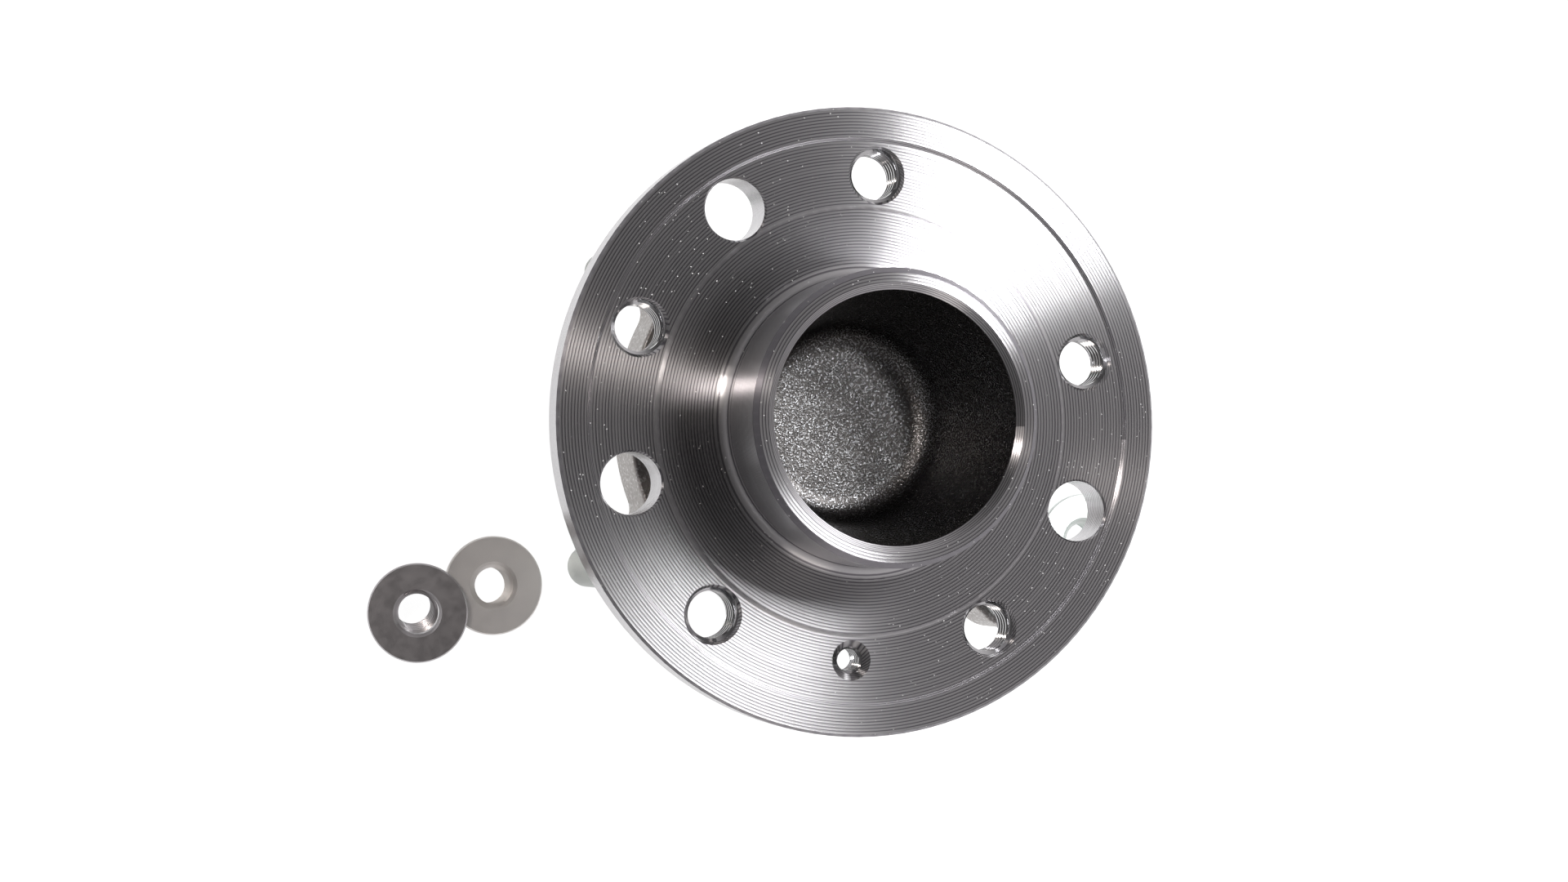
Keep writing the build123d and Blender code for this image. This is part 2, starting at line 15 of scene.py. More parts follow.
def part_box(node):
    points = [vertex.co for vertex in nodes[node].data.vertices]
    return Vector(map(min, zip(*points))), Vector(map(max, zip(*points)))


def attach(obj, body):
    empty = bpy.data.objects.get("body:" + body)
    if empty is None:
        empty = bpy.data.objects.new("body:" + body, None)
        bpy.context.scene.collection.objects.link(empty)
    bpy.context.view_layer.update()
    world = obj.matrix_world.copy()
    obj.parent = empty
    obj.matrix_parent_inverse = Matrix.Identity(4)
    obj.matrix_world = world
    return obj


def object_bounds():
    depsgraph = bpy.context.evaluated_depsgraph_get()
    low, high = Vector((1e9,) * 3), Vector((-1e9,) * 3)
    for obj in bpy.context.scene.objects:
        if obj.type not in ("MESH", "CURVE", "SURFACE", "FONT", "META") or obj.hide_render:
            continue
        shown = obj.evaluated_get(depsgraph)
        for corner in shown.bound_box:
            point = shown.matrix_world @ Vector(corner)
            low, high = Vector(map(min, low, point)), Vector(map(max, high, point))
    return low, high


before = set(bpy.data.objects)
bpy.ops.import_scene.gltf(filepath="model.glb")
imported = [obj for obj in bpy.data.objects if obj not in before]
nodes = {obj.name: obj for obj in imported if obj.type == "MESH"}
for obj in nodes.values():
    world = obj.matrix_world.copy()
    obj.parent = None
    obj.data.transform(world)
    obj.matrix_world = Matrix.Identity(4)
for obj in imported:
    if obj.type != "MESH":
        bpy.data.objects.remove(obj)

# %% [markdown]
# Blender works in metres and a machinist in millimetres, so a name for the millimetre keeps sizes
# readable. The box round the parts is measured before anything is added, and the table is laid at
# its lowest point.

mm = 0.001
cad_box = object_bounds()
print(len(nodes), "parts, from", cad_box[0][:], "to", cad_box[1][:])

# %% [markdown]
# A camera can be placed with rotation angles, with a tracking constraint or with a place, an aim
# and a roll. The last is easiest to read: where it stands, what it looks at, and how far it is
# turned about its own line of sight. The lamps are aimed in the same way, so it is a helper.


# %% Place and aim
def new_object(name, data):
    """An object in the scene, at the origin and unturned."""
    piece = bpy.data.objects.new(name, data)
    bpy.context.collection.objects.link(piece)
    return piece


def aim(holder, place, sight, roll):
    """Stands a camera or lamp at a place, facing along a line, turned about it by degrees."""
    holder.location = place
    holder.rotation_mode = "QUATERNION"
    facing = sight.to_track_quat("-Z", "Y")
    holder.rotation_quaternion = facing @ Quaternion((0, 0, 1), radians(roll))


# %% Camera
camera_place = Vector((-198.41, -33.51, 578.92)) * mm
camera_aim = Vector((-18.55, -5.63, 0.0)) * mm
camera_roll = 84.66
focal_length = 63.35

camera_data = bpy.data.cameras.new("camera")
camera_data.lens = focal_length
camera_data.clip_start = 10 * mm
camera = new_object("camera", camera_data)
line_of_sight = camera_aim - camera_place
aim(camera, camera_place, line_of_sight, camera_roll)
bpy.context.scene.camera = camera
bpy.context.scene.view_settings.view_transform = "Standard"
print("camera", round(line_of_sight.length, 3), "m from its aim")

# %% [markdown]
# Materials are networks of nodes, and sums in them soon fill the page. A small class wraps a
# socket, so that a sum is written as in ordinary Python and each operator adds one Math node. The
# reflected forms let a plain number stand first, as in 1 - mask.


# %% Sums on sockets
class Signal:
    """A socket whose value varies, over a surface or from ray to ray."""

    def __init__(self, tree, socket):
        self.tree = tree
        self.socket = socket

    def math(self, operation, *values):
        """One Math node, fed with the given values only."""
        node = self.tree.nodes.new("ShaderNodeMath")
        node.operation = operation
        for socket, value in zip(node.inputs, values):
            plug(self.tree, socket, value)
        return Signal(self.tree, node.outputs[0])

    def __add__(self, other):
        return self.math("ADD", self, other)

    def __mul__(self, other):
        return self.math("MULTIPLY", self, other)

    def __sub__(self, other):
        return self.math("SUBTRACT", self, other)

    def __rsub__(self, other):
        return self.math("SUBTRACT", other, self)

    def __pow__(self, other):
        return self.math("POWER", self, other)

    def __abs__(self):
        return self.math("ABSOLUTE", self)

    def __lt__(self, other):
        return self.math("LESS_THAN", self, other)

    def __gt__(self, other):
        return self.math("GREATER_THAN", self, other)

    __radd__ = __add__
    __rmul__ = __mul__


def plug(tree, socket, value):
    """Links a signal to a socket, or writes a plain value on it."""
    if isinstance(value, Signal):
        tree.links.new(value.socket, socket)
    else:
        socket.default_value = value


# %% [markdown]
# All other nodes come from one method: it takes the node's type, then its settings, then what
# goes into its sockets. A colour is three numbers here, and the method adds the fourth.


# %% A network of nodes
class Network:
    """The nodes of one material or of the world."""

    def __init__(self, owner):
        owner.use_nodes = True
        self.tree = owner.node_tree
        self.tree.nodes.clear()

    def node(self, kind, settings=None, inputs=None, output=0):
        node = self.tree.nodes.new(kind)
        for name, value in (settings or {}).items():
            setattr(node, name, value)
        for name, value in (inputs or {}).items():
            if isinstance(value, tuple) and node.inputs[name].type == "RGBA":
                value = (*value, 1.0)
            plug(self.tree, node.inputs[name], value)
        return Signal(self.tree, node.outputs[output]) if node.outputs else None

    def sibling(self, signal, name):
        """Another output of the node that a signal comes from."""
        return Signal(self.tree, signal.socket.node.outputs[name])


def new_material(name):
    material = bpy.data.materials.new(name)
    return material, Network(material)


# %% [markdown]
# Real metal and plastic are never one flat colour. The helpers below read where a point lies on a
# part and turn that into soft random values, blends of colour, relief and gloss. Every finish uses
# them, so each gets a short name.


# %% Where a point lies, and soft random values
def object_place(net):
    """Object coordinates, and the radius and height they give, in millimetres."""
    place = net.node("ShaderNodeTexCoord", output="Object")
    x = net.node("ShaderNodeSeparateXYZ", inputs={"Vector": place})
    y = net.sibling(x, "Y")
    z = net.sibling(x, "Z")
    radius = (x * x + y * y) ** 0.5 * 1000
    return place, radius, z * 1000


def upright(net):
    """1 on a surface that faces up, 0 on a wall and -1 on one that faces down."""
    facing = net.node("ShaderNodeTexCoord", output="Normal")
    split = net.node("ShaderNodeSeparateXYZ", inputs={"Vector": facing})
    return net.sibling(split, "Z")


def noise(net, place, scale, detail=2.0, rough=0.5, dimensions="3D"):
    """Smooth random values between 0 and 1."""
    where = {"W": place} if dimensions == "1D" else {"Vector": place}
    return net.node(
        "ShaderNodeTexNoise",
        {"noise_dimensions": dimensions},
        {**where, "Scale": scale, "Detail": detail, "Roughness": rough},
    )


# %% [markdown]
# The same random values drive colour, gloss and relief, so that a darker spot can also be rougher
# and lower, as it is on the real metal.


# %% Blends, relief and the surface shader
def remap(net, value, low, high, to_low=0.0, to_high=1.0):
    """Stretches a range of values over another, and holds it at both ends."""
    return net.node(
        "ShaderNodeMapRange",
        {"interpolation_type": "SMOOTHSTEP"},
        {"Value": value, "From Min": low, "From Max": high, "To Min": to_low, "To Max": to_high},
    )


def blend_colour(net, factor, first, second):
    """Colours go through a Mix node, because a Math node turns them grey."""
    settings = {"data_type": "RGBA", "clamp_factor": True}
    factor_socket, first_socket, second_socket, colour_output = 0, 6, 7, 2
    inputs = {factor_socket: factor, first_socket: first, second_socket: second}
    return net.node("ShaderNodeMix", settings, inputs, colour_output)


def bump(net, height, distance, strength=1.0):
    """Turns a height into a tilt of the surface."""
    inputs = {"Height": height, "Distance": distance, "Strength": strength}
    return net.node("ShaderNodeBump", inputs=inputs)


def principled(net, **inputs):
    """The all-round surface shader. An underscore in a name stands for a space."""
    named = {name.replace("_", " "): value for name, value in inputs.items()}
    return net.node("ShaderNodeBsdfPrincipled", inputs=named)


def mix_shaders(net, mask, where_0, where_1):
    return net.node("ShaderNodeMixShader", inputs={0: mask, 1: where_0, 2: where_1})


def finish_material(net, shader):
    net.node("ShaderNodeOutputMaterial", inputs={"Surface": shader})


# %% [markdown]
# The table is white and blown out, as in a studio. A bright lamp could do that, but it would
# bleach the metal as well. Instead the table glows a little where the camera, a mirror or glass
# looks at it, and the rest of its light still comes from the lamps, so that shadows stay.


# %% Table finish
def table_material(glow_strength, lit_grey, plain_grey):
    material, net = new_material("table")
    camera_ray = net.node("ShaderNodeLightPath", output="Is Camera Ray")
    glossy_ray = net.sibling(camera_ray, "Is Glossy Ray")
    transmission_ray = net.sibling(camera_ray, "Is Transmission Ray")
    seen = camera_ray + glossy_ray + transmission_ray
    plain = net.node("ShaderNodeBsdfDiffuse", inputs={"Color": (plain_grey,) * 3})
    lit = net.node("ShaderNodeBsdfDiffuse", inputs={"Color": (lit_grey,) * 3})
    glow = net.node("ShaderNodeEmission", inputs={"Strength": glow_strength})
    bright = net.node("ShaderNodeAddShader", inputs={0: lit, 1: glow})
    finish_material(net, mix_shaders(net, seen, plain, bright))
    return material


# %% [markdown]
# The table top could be a slab or a curved sweep. The camera looks down on it, so a flat square
# that is much larger than the view is enough. It lies at the lowest point of the parts.

# %% Table
table_size = 4.0
table_mesh = bmesh.new()
bmesh.ops.create_grid(
    table_mesh,
    x_segments=1,
    y_segments=1,
    size=table_size / 2,
    matrix=Matrix.Translation((0, 0, cad_box[0].z)),
)
table_data = bpy.data.meshes.new("table")
table_mesh.to_mesh(table_data)
table_mesh.free()
table_data.materials.append(table_material(glow_strength=0.95, lit_grey=0.25, plain_grey=0.8))
table = new_object("table", table_data)
print("table at", round(cad_box[0].z / mm, 1), "mm")

# %% [markdown]
# Turned steel is a mirror that smears what it sees across its grooves, so the room matters more
# than the colour. An even white room would make it flat and pale. This one has a bright wall and a
# dark wall, a backdrop that curves up from the table, and a ceiling that is almost black. The
# camera itself sees plain white.

# %% Room
backdrop_foot, backdrop_top, backdrop_level = 0.02, 0.25, 0.65
wall_turn, wall_dark, wall_light = 0.6, 0.08, 0.65
ceiling_edge, ceiling_middle, ceiling_level = 0.82, 0.96, 0.015
room_tint = (1.0, 0.965, 0.975)


def build_world():
    """A room whose brightness follows from the direction of a ray."""
    world = bpy.data.worlds.new("room")
    bpy.context.scene.world = world
    net = Network(world)
    camera_ray = net.node("ShaderNodeLightPath", output="Is Camera Ray")
    direction = net.node("ShaderNodeTexCoord", output="Generated")
    x = net.node("ShaderNodeSeparateXYZ", inputs={"Vector": direction})
    height = net.sibling(x, "Z")
    backdrop = remap(net, height, backdrop_foot, backdrop_top, 1.0, 0.0)
    walls = remap(net, x, -wall_turn, wall_turn, wall_dark, wall_light)
    overhead = remap(net, height, ceiling_edge, ceiling_middle, walls, ceiling_level)
    room = overhead + backdrop * (backdrop_level - overhead)
    level = camera_ray + (1 - camera_ray) * room
    tint = blend_colour(net, camera_ray, room_tint, (1.0, 1.0, 1.0))
    sky = net.node("ShaderNodeBackground", inputs={"Color": tint, "Strength": level})
    net.node("ShaderNodeOutputWorld", inputs={"Surface": sky})
    return world


print("world:", build_world().name)

# %% [markdown]
# The bright fans on the flange are the lamps, smeared across the rings. A point lamp would draw
# them thin and hard, so these are soft ovals: a large key, a narrow strip that draws the fan on the
# far side, and a weak fill. Each stands where two angles and a distance say, and faces the hub.

# %% Soft lamps
white = (1.0, 1.0, 1.0)
warm = (1.0, 0.92, 0.86)


def from_angles(azimuth, elevation):
    """A direction, from its turn about the axis and its height above the table, in degrees."""
    flat = cos(radians(elevation))
    x = cos(radians(azimuth)) * flat
    y = sin(radians(azimuth)) * flat
    return Vector((x, y, sin(radians(elevation))))


def softbox(name, azimuth, elevation, distance, size, power, turn, colour):
    """An oval lamp, its sizes in metres and its power in watts."""
    lamp = bpy.data.lights.new(name, "AREA")
    lamp.shape = "ELLIPSE"
    lamp.size, lamp.size_y = size
    lamp.energy = power
    lamp.color = colour
    holder = new_object(name, lamp)
    outwards = from_angles(azimuth, elevation)
    aim(holder, outwards * distance, -outwards, turn)
    holder.visible_camera = False
    print(name, "of", power, "W at", azimuth, elevation, "degrees")


softbox("key_softbox", 39, 48, distance=1.2, size=(0.45, 0.5), power=12, turn=16, colour=white)
softbox("strip", 160.7, 50.6, distance=0.62, size=(0.035, 0.2), power=0.8, turn=7, colour=warm)
softbox("low_fill", 270, 35, distance=1.4, size=(0.5, 0.3), power=0.8, turn=0, colour=warm)

# %% [markdown]
# The hollow nose is deep, and hardly any light reaches its floor. More light from the softboxes
# would bleach the flange, so a spot with a beam no wider than the hollow looks down the bore. Its
# lamp is tiny, which keeps the edge of the beam off the rim of the nose.


# %% A narrow spot down the bore
def snoot(name, azimuth, elevation, distance, target, beam_r, power):
    """A spot lamp, aimed at a target that its beam just covers."""
    lamp = bpy.data.lights.new(name, "SPOT")
    lamp.energy = power
    lamp.spot_size = 2 * atan2(beam_r, distance)
    lamp.spot_blend = 0.3
    lamp.shadow_soft_size = 2 * mm
    holder = new_object(name, lamp)
    outwards = from_angles(azimuth, elevation)
    aim(holder, Vector(target) + outwards * distance, -outwards, roll=0)
    print(name, "of", power, "W at", azimuth, elevation, "degrees")


nose_mouth = (0, 0, 22 * mm)
snoot("cavity_snoot", 31, 74, distance=0.6, target=nose_mouth, beam_r=26.5 * mm, power=2.1)

# %% [markdown]
# The wheel flange and the spigot are turned on a lathe. The tool leaves rings a few tenths of a
# millimetre apart, which smear reflections across the rings and hardly at all along them. Real
# grooves in the mesh would need millions of faces. The shader's anisotropy does the smearing
# instead, and a fine bump of rings draws the ones that can be seen.

# %% Lathe rings
ring_pitch = 0.7
ring_depth = 0.000012
least_depth, uneven_depth, chatter_depth = 0.2, 0.6, 0.2


def ring_height(net, across):
    """Lathe rings of uneven depth, by the distance across them in millimetres."""
    tool_mark = across.math("SINE", across * (2 * pi / ring_pitch))
    unevenness = noise(net, across, scale=0.6, dimensions="1D")
    chatter = noise(net, across, scale=2.5, rough=0.7, dimensions="1D")
    return tool_mark * (unevenness * uneven_depth + least_depth) + chatter * chatter_depth


print("rings", ring_pitch, "mm apart and", round(ring_depth / mm, 3), "mm deep")

# %% [markdown]
# White dust lies on the flange in loose patches. Scattered flakes of mesh could make it, but specks
# this small are only dots, so they are the middles of the cells of a Voronoi pattern. Most cells
# stay empty: each has a chance of its own, and a cloud of noise says where the dust is thick.

# %% Dust
cells_per_metre = 900.0
largest_speck = 0.2
rarity = 1.08


def dust(net, place):
    """1 on a sprinkle of specks, 0 between them."""
    cell_inputs = {"Vector": place, "Scale": cells_per_metre}
    from_middle = net.node("ShaderNodeTexVoronoi", {"feature": "F1"}, cell_inputs)
    chance = net.sibling(from_middle, "Color")
    crowd = noise(net, place, scale=60.0, detail=3.0, rough=0.6)
    return (from_middle < crowd * largest_speck) * (chance > rarity - crowd)


# %% [markdown]
# The hollow of the nose was never machined: it keeps the dark, leathery scale of the forging. The
# grain could be cut into the mesh, but bump is enough on a floor that is seen from far away. The
# tops of the grains are brighter and smoother than the scale between them.


# %% Forged cavity
def forged_cavity(net, place):
    grain = noise(net, place, scale=2300.0, rough=0.6)
    blotch = noise(net, place, scale=120.0, detail=3.0, rough=0.6)
    dull = blend_colour(net, blotch, (0.07, 0.066, 0.065), (0.12, 0.113, 0.11))
    grain_tops = remap(net, grain, 0.5, 0.68)
    return principled(
        net,
        Base_Color=blend_colour(net, grain_tops, dull, (0.40, 0.405, 0.42)),
        Metallic=1.0,
        Roughness=remap(net, grain, 0.3, 0.7, 0.32, 0.24),
        Normal=bump(net, grain, 0.00014),
    )


# %% [markdown]
# The hub is one piece of steel with three surfaces: turned faces, the bored walls of its holes and
# rim, and the forged hollow. Three meshes could carry them, but the CAD part is one mesh and stays
# so. Masks pick the surface from the radius, the height and the way the surface faces.

# %% Where each surface of the hub lies, in millimetres
holes_from_r = 45
wall_lean = 0.3
cavity_r = 28.6
cavity_floor, cavity_mouth = -19.6, 20.8


def hub_masks(net, radius, height):
    """1 on the walls of holes and rim, and 1 in the forged hollow."""
    on_wall = (radius > holes_from_r) * (abs(upright(net)) < wall_lean)
    in_cavity = (radius < cavity_r) * (height > cavity_floor) * (height < cavity_mouth)
    return on_wall, in_cavity


print("cavity from", cavity_floor, "to", cavity_mouth, "mm, walls beyond", holes_from_r, "mm")

# %% [markdown]
# Turned steel looks bright on the crests of its rings and dark in the grooves, by how they catch
# the light. One grey with a bump would show that only where a lamp is near, so painted shade also
# darkens the grooves in colour. The bored walls have the same steel, painted grooves and all,
# without the smear, because their tool marks run another way.


# %% Turned steel
def turned_steel():
    material, net = new_material("turned_steel")
    place, radius, height = object_place(net)
    rings = ring_height(net, radius + height)
    cloud = noise(net, place, scale=45.0, detail=3.0, rough=0.6)
    clean = blend_colour(net, cloud, (0.56, 0.555, 0.57), (0.66, 0.65, 0.66))
    # Painted shade: the grooves of the rings are darkened in colour, in place of the shade they
    # catch.
    painted_groove_shade = remap(net, rings, 0.1, 0.55, 0.0, 0.85)
    shade = blend_colour(net, painted_groove_shade, clean, (0.16, 0.15, 0.17))
    speck = dust(net, place)
    turned = principled(
        net,
        Base_Color=blend_colour(net, speck, shade, (0.85, 0.85, 0.85)),
        Metallic=1 - speck,
        Roughness=0.275,
        Anisotropic=0.98,
        Anisotropic_Rotation=0.25,
        Normal=bump(net, rings, ring_depth),
    )
    bored = principled(
        net,
        Base_Color=shade,
        Metallic=1.0,
        Roughness=remap(net, cloud, 0.3, 0.7, 0.2, 0.3),
        Normal=bump(net, rings, ring_depth),
    )
    on_wall, in_cavity = hub_masks(net, radius, height)
    machined = mix_shaders(net, on_wall, turned, bored)
    finish_material(net, mix_shaders(net, in_cavity, machined, forged_cavity(net, place)))
    return material


steel = turned_steel()
print(steel.name, "has", len(steel.node_tree.nodes), "nodes")

# %% [markdown]
# The outer ring is forged as well, and then turned: only the edges of its ears keep the forged
# skin, which is paler than the scale in the hollow and has small bright spots. A mask like those
# of the hub keeps the skin there, and the machined finish everywhere else.

# %% Forged and machined ring
ears_from_r = 44.5
ears_low, ears_high = -31.45, -16.9


def forged_steel():
    material, net = new_material("forged_steel")
    place, radius, height = object_place(net)
    scale_skin = noise(net, place, scale=1500.0, detail=3.0, rough=0.65)
    patches = noise(net, place, scale=60.0, detail=3.0)
    dry = blend_colour(net, patches, (0.27, 0.25, 0.24), (0.40, 0.375, 0.36))
    spots = remap(net, scale_skin, 0.5, 0.7)
    skin = principled(
        net,
        Base_Color=blend_colour(net, spots, dry, (0.66, 0.65, 0.65)),
        Metallic=0.75,
        Roughness=remap(net, scale_skin, 0.3, 0.7, 0.42, 0.30),
        Normal=bump(net, scale_skin, 0.00015),
    )
    cut = principled(
        net,
        Base_Color=blend_colour(net, patches, (0.44, 0.43, 0.42), (0.58, 0.57, 0.56)),
        Metallic=1.0,
        Roughness=0.30,
        Anisotropic=0.8,
        Anisotropic_Rotation=0.25,
        Normal=bump(net, ring_height(net, radius + height), 0.000002),
    )
    on_ears = (radius > ears_from_r) * (height < ears_high) * (height > ears_low)
    finish_material(net, mix_shaders(net, on_ears, cut, skin))
    return material


forged = forged_steel()
print(forged.name, "has", len(forged.node_tree.nodes), "nodes")

# %% [markdown]
# Balls and raceways are ground and polished. A plain mirror would look like chrome, so a cloud of
# noise dulls the polish here and there, and grinding lines too fine to see one by one break the
# edges of the reflections.


# %% Ground bearing steel
def bearing_steel():
    material, net = new_material("bearing_steel")
    place, radius, height = object_place(net)
    polish = noise(net, place, scale=300.0, detail=3.0, rough=0.6)
    grinding = noise(net, radius + height, scale=9.0, dimensions="1D")
    shader = principled(
        net,
        Base_Color=blend_colour(net, polish, (0.58, 0.58, 0.59), (0.68, 0.68, 0.69)),
        Metallic=1.0,
        Roughness=remap(net, polish, 0.2, 0.8, 0.06, 0.16),
        Normal=bump(net, grinding, 0.0000006),
    )
    finish_material(net, shader)
    return material


ground = bearing_steel()
print(ground.name, "has", len(ground.node_tree.nodes), "nodes")

# %% [markdown]
# Nuts, studs and pressed sheets are plated with zinc, a soft grey metal that grows in tiny
# crystals. Each shade could be a material of its own, but they differ only in colour and gloss, so
# one function makes them all, and the plating of the contact pins too. The near-white one is
# painted
# light: the same zinc, made paler where the white table lights the nut under the flange and the
# studs.


# %% Zinc plate
def zinc_plate(name, dark, light, rough_low, rough_high):
    material, net = new_material(name)
    place, _, _ = object_place(net)
    crystals = noise(net, place, scale=420.0, detail=4.0, rough=0.6)
    cloud = noise(net, place, scale=90.0, detail=3.0)
    shader = principled(
        net,
        Base_Color=blend_colour(net, cloud, dark, light),
        Metallic=0.75,
        Roughness=remap(net, crystals, 0.3, 0.7, rough_low, rough_high),
        Normal=bump(net, crystals, 0.000004),
    )
    finish_material(net, shader)
    print("made", name)
    return material


zinc_dark = zinc_plate("zinc_dark", (0.50, 0.485, 0.50), (0.58, 0.565, 0.58), 0.28, 0.36)
zinc_light = zinc_plate("zinc_light", (0.80, 0.78, 0.76), (0.90, 0.88, 0.86), 0.44, 0.54)
# Painted light: the same zinc made near white, standing in for the glare of the white table.
zinc_painted_light = zinc_plate("zinc_painted_light", (0.86, 0.91, 0.89), (0.93, 0.97, 0.95), 0.44, 0.56)
pin_plate = zinc_plate("pin_plate", (0.68, 0.60, 0.42), (0.80, 0.72, 0.52), 0.2, 0.3)

# %% [markdown]
# Cages, cap and sensor are moulded nylon, and the seal and the encoder are rubber. They differ in
# colour, gloss and grain, but not in kind, so one function makes them: a slow change of colour from
# the flow in the mould, and a fine grain that takes the edge off the gloss.


# %% Plastics and rubber
def moulded(name, dark, light, rough, grain_size, relief):
    material, net = new_material(name)
    place, _, _ = object_place(net)
    grain = noise(net, place, scale=grain_size, detail=4.0, rough=0.6)
    flow = noise(net, place, scale=70.0)
    shader = principled(
        net,
        Base_Color=blend_colour(net, flow, dark, light),
        Roughness=remap(net, grain, 0.3, 0.7, rough - 0.08, rough + 0.08),
        Normal=bump(net, grain, relief, strength=0.6),
    )
    finish_material(net, shader)
    print("made", name)
    return material


fine_relief, coarse_relief = 0.00003, 0.00004
cream, straw = (0.50, 0.40, 0.24), (0.62, 0.52, 0.34)
cage_nylon = moulded("cage_nylon", cream, straw, 0.45, 700.0, fine_relief)
coal, soot = (0.020, 0.020, 0.020), (0.035, 0.034, 0.033)
seal_rubber = moulded("seal_rubber", coal, soot, 0.55, 900.0, fine_relief)
umber, brown = (0.06, 0.055, 0.05), (0.10, 0.09, 0.085)
encoder_rubber = moulded("encoder_rubber", umber, brown, 0.5, 900.0, fine_relief)
black, slate = (0.030, 0.030, 0.031), (0.05, 0.05, 0.051)
cap_nylon = moulded("cap_nylon", black, slate, 0.48, 800.0, coarse_relief)
jet, ink = (0.018, 0.018, 0.019), (0.032, 0.032, 0.033)
sensor_nylon = moulded("sensor_nylon", jet, ink, 0.42, 800.0, coarse_relief)

# %% [markdown]
# The parts come from the CAD model with plain materials. Each could be given its finish where that
# is made, but one list can be read and changed in one place.

# %% Give each part its finish
finishes = {
    "wheel_hub": steel,
    "outer_ring": forged,
    "inner_ring": ground,
    "balls_outboard": ground,
    "balls_inboard": ground,
    "cage_outboard": cage_nylon,
    "cage_inboard": cage_nylon,
    "seal_case": zinc_light,
    "seal_lips": seal_rubber,
    "encoder_carrier": zinc_light,
    "encoder_ring": encoder_rubber,
    "rear_cap": cap_nylon,
    "cap_o_ring": seal_rubber,
    "speed_sensor": sensor_nylon,
    "sensor_pin_1": pin_plate,
    "sensor_pin_2": pin_plate,
    "flange_nut_flat": zinc_light,
    "flange_nut_leaning": zinc_dark,
    # Painted light: the nut under the flange, and the studs below, take the zinc made near white.
    "flange_nut_under": zinc_painted_light,
}
studs = [f"stud_{number}" for number in range(1, 5)]
for stud in studs:
    finishes[stud] = zinc_painted_light

for name, node in nodes.items():
    node.data.materials.clear()
    node.data.materials.append(finishes[name])
print("finishes on", len(finishes), "parts")

# %% [markdown]
# A thread can be a texture, a bump or real metal. The holes look straight into the camera, so it
# is real: four corners of a ridge are spun round the hole while they climb. The ridge goes from the
# wall to the crest, so a crest inside the wall makes a nut and one outside it makes a bolt.

# %% Sizes of the threads
ThreadForm = namedtuple("ThreadForm", "wall_r crest_r pitch")
wheel_bolt_form = ThreadForm(6.0 * mm, 5.22 * mm, 1.5 * mm)
disc_screw_form = ThreadForm(3.0 * mm, 2.5 * mm, 1.0 * mm)
stud_form = ThreadForm(4.3 * mm, 4.97 * mm, 1.25 * mm)
nut_form = ThreadForm(5.0 * mm, 4.25 * mm, 1.25 * mm)

root_in_wall = 0.03 * mm
root_half_pitches = 0.48
steps_per_turn = 72
ridge_height = wheel_bolt_form.wall_r - wheel_bolt_form.crest_r
print("wheel-bolt ridges", round(ridge_height / mm, 2), "mm high,", steps_per_turn, "steps a turn")


# %% A ridge that climbs
def spin_ridge(form, low, high):
    """The ridge about the z axis, from low to high, and the radius of its root."""
    inwards = 1 if form.wall_r > form.crest_r else -1
    root_r = form.wall_r + inwards * root_in_wall
    root_half = root_half_pitches * form.pitch
    crest_half = form.pitch / 8 if inwards > 0 else form.pitch / 16
    turns = (high - low) / form.pitch - 1
    steps = round(turns * steps_per_turn)
    profile = (
        (root_r, -root_half),
        (form.crest_r, -crest_half),
        (form.crest_r, crest_half),
        (root_r, root_half),
    )
    ridge = bmesh.new()
    start = low + form.pitch / 2
    corners = [ridge.verts.new((radius, 0, start + up)) for radius, up in profile]
    outline = [ridge.edges.new((corners[i - 1], corners[i])) for i in range(4)]
    bmesh.ops.spin(
        ridge,
        geom=corners + outline,
        axis=(0, 0, 1),
        dvec=(0, 0, turns * form.pitch / steps),
        angle=turns * 2 * pi,
        steps=steps,
        use_merge=False,
    )
    ends = [edge for edge in ridge.edges if edge.is_boundary]
    bmesh.ops.holes_fill(ridge, edges=ends, sides=4)
    return ridge, root_r


# %% [markdown]
# A tap or a die doesn't stop a thread dead: the ridge sinks into the wall over the last turn. The
# ends could be modelled on their own, but it is simpler to pull the corners of the whole ridge
# back to its root, by how near the end they are.

# %% Fade the ends and place the thread
fade_turns = 0.9
sharp_from = 25


def thread(name, form, ends, place, body, material):
    """A screw ridge that is made about its own axis, and then moved to its place."""
    low, high = ends
    ridge, root_r = spin_ridge(form, low, high)
    for corner in ridge.verts:
        radius = corner.co.xy.length
        from_end = min(corner.co.z - low, high - corner.co.z)
        fade = min(1.0, max(0.0, from_end / (fade_turns * form.pitch)))
        corner.co.xy *= (root_r + (radius - root_r) * fade) / radius
    bmesh.ops.recalc_face_normals(ridge, faces=ridge.faces)
    bmesh.ops.transform(ridge, matrix=place, verts=ridge.verts)
    data = bpy.data.meshes.new(name)
    ridge.to_mesh(data)
    ridge.free()
    data.shade_smooth()
    data.set_sharp_from_angle(angle=radians(sharp_from))
    data.materials.append(material)
    piece = new_object(name, data)
    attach(piece, body)
    print(name, "has", len(data.polygons), "faces")


# %% [markdown]
# The wheel flange has five threaded holes for the wheel bolts, a fifth of a turn apart, and a small
# one for the screw that holds the brake disc. Their threads could be cut out of the hub's mesh, but
# a ridge of its own is easier to shape and leaves the CAD part alone. It rides on the hub, so it
# turns with it, and it has the ground finish, because a tap leaves bright flanks.

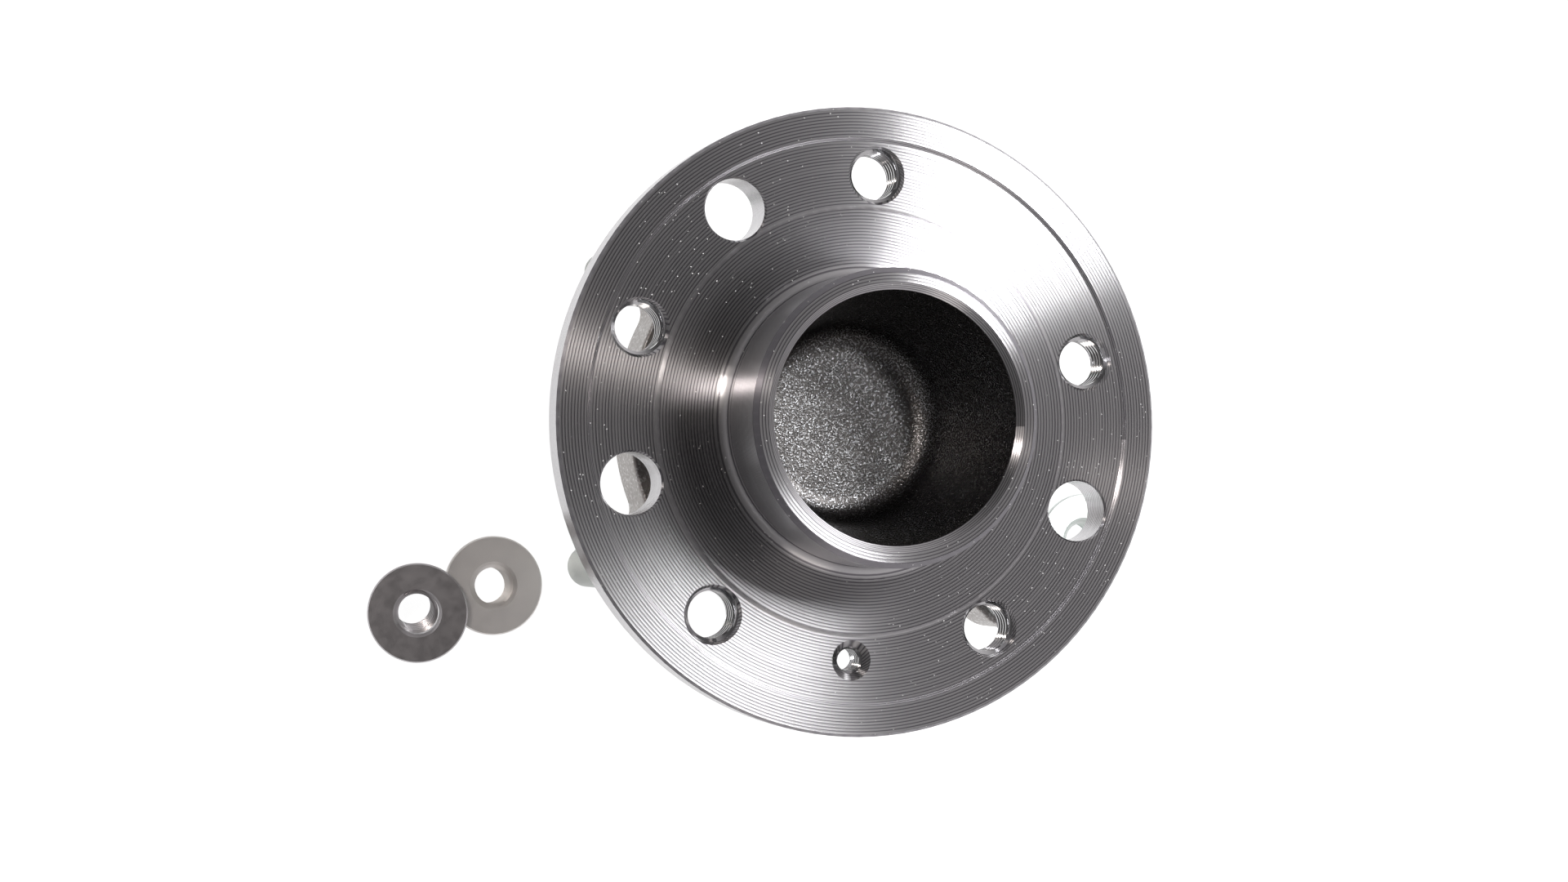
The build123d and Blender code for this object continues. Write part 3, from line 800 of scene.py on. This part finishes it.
# %% Threads of the hub
bolt_circle_r = 55 * mm
first_bolt, bolt_step, bolt_count = 90, 72, 5
bolt_thread_ends = (-10.6 * mm, -1.2 * mm)
for number in range(bolt_count):
    angle = radians(first_bolt + bolt_step * number)
    centre = Vector((cos(angle), sin(angle), 0)) * bolt_circle_r
    place = Matrix.Translation(centre)
    name = f"wheel_thread_{number + 1}"
    thread(name, wheel_bolt_form, bolt_thread_ends, place, "hub", ground)

screw_circle_r = 53.1 * mm
screw_thread_ends = (-10.6 * mm, -2.1 * mm)
place = Matrix.Translation((0, -screw_circle_r, 0))
name = "disc_screw_thread"
thread(name, disc_screw_form, screw_thread_ends, place, "hub", ground)

# %% [markdown]
# The studs are threaded at their lower end and stay with the outer ring. Their places could be
# written here again, but a stud's box gives its axis and its tip, so the thread follows the CAD
# part.

# %% Threads of the studs
tip_bevel = 0.9 * mm
stud_thread_top = -37.2 * mm
for number, stud in enumerate(studs, start=1):
    low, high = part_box(stud)
    axis_point = (low + high) / 2
    place = Matrix.Translation((axis_point.x, axis_point.y, 0))
    ends = (low.z + tip_bevel, stud_thread_top)
    thread(f"stud_thread_{number}", stud_form, ends, place, "housing", zinc_painted_light)

# %% [markdown]
# One nut leans on another, so its axis isn't upright. The faces that look up tell where it is: the
# mean of their centres is on the axis, and the mean of their normals is its direction.

# %% Where a nut is, and how it leans
looks_up = 0.95


def nut_place(node):
    """The centre and the axis of a nut's flat face, as a turn and a move."""
    centre, axis, area = Vector(), Vector(), 0.0
    for face in nodes[node].data.polygons:
        if face.normal.z > looks_up:
            centre += face.center * face.area
            axis += face.normal * face.area
            area += face.area
    turn = axis.to_track_quat("Z", "Y").to_matrix().to_4x4()
    return Matrix.Translation(centre / area) @ turn


# %% [markdown]
# The nuts have the coarse side of the thread inwards, like the holes of the hub. They lie still, so
# their threads ride on the housing, and each takes the plating of its own nut.

# %% Threads of the nuts
nut_thread_ends = (-9.6 * mm, -0.4 * mm)
for node in ("flange_nut_flat", "flange_nut_leaning", "flange_nut_under"):
    name = node.replace("flange", "thread_of")
    place, finish = nut_place(node), finishes[node]
    thread(name, nut_form, nut_thread_ends, place, "housing", finish)
